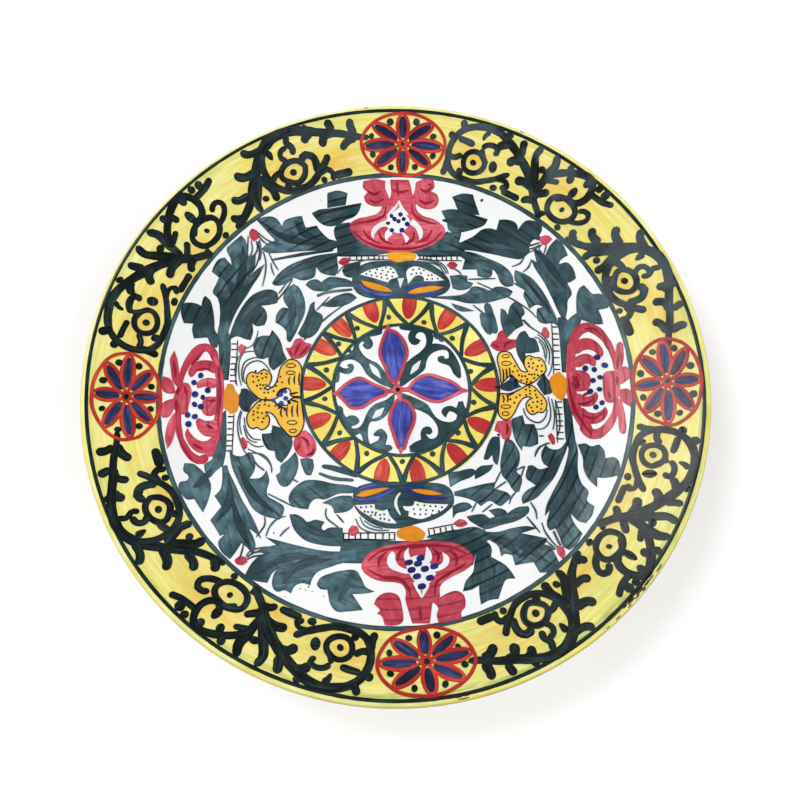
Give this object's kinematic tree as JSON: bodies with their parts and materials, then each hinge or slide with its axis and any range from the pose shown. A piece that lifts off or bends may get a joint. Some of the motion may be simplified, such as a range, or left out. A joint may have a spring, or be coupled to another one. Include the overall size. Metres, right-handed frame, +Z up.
{
  "type": "painted ceramic plate",
  "caption": "Round footed earthenware plate with a flat well, a raised flange and painted flowers, leaves and a scrolling vine border.",
  "frame": {"origin": "centre of the foot ring's resting face, on the plane that the plate stands on", "axes": "+Z up along the plate's axis of turning; X and Y lie in the resting plane and run through the painted flowers, nearly on them"},
  "size_m": [0.3, 0.3, 0.0301],
  "materials": {
    "clay": "fired earthenware",
    "bare_clay": "unglazed, dry and slightly rough",
    "white_glaze": "glossy tin-white glaze",
    "yellow_glaze": "glossy yellow wash under clear glaze",
    "lip_glaze": "glossy pale yellow glaze",
    "back_glaze": "glossy cream glaze",
    "green_line": "dark green colour under clear glaze",
    "vine_green": "near-black green colour under clear glaze",
    "leaf_green": "slate green colour under clear glaze",
    "red_line": "orange-red colour under clear glaze",
    "petal_blue": "blue-black colour under clear glaze",
    "kite_blue": "cobalt blue colour under clear glaze",
    "rose_red": "rose-red colour under clear glaze",
    "orange": "orange colour under clear glaze",
    "spot_yellow": "golden yellow colour under clear glaze",
    "medallion_yellow": "yellow wash under clear glaze",
    "ink": "fine black-green lines under clear glaze"
  },
  "bodies": {
    "root": {"clay_body": "clay", "foot_ring": "bare_clay", "white_glaze": "white_glaze", "flange_glaze": "yellow_glaze", "lip_glaze": "lip_glaze", "back_glaze": "back_glaze", "foot_recess_glaze": "back_glaze", "rim_lines": "green_line", "rim_rosette_outlines": "red_line", "rim_rosette_petals": "petal_blue", "rim_vine": "vine_green", "medallion_wash": "medallion_yellow", "medallion_lines": "green_line", "medallion_petals": "red_line", "medallion_kites": "kite_blue", "medallion_scrolls": "leaf_green", "palmettes": "rose_red", "blossoms": "rose_red", "orange_tabs": "orange", "seed_pods": "leaf_green", "spotted_bows": "spot_yellow", "tulip_buds": "rose_red", "acanthus_leaves": "leaf_green"}
  },
  "joints": []
}
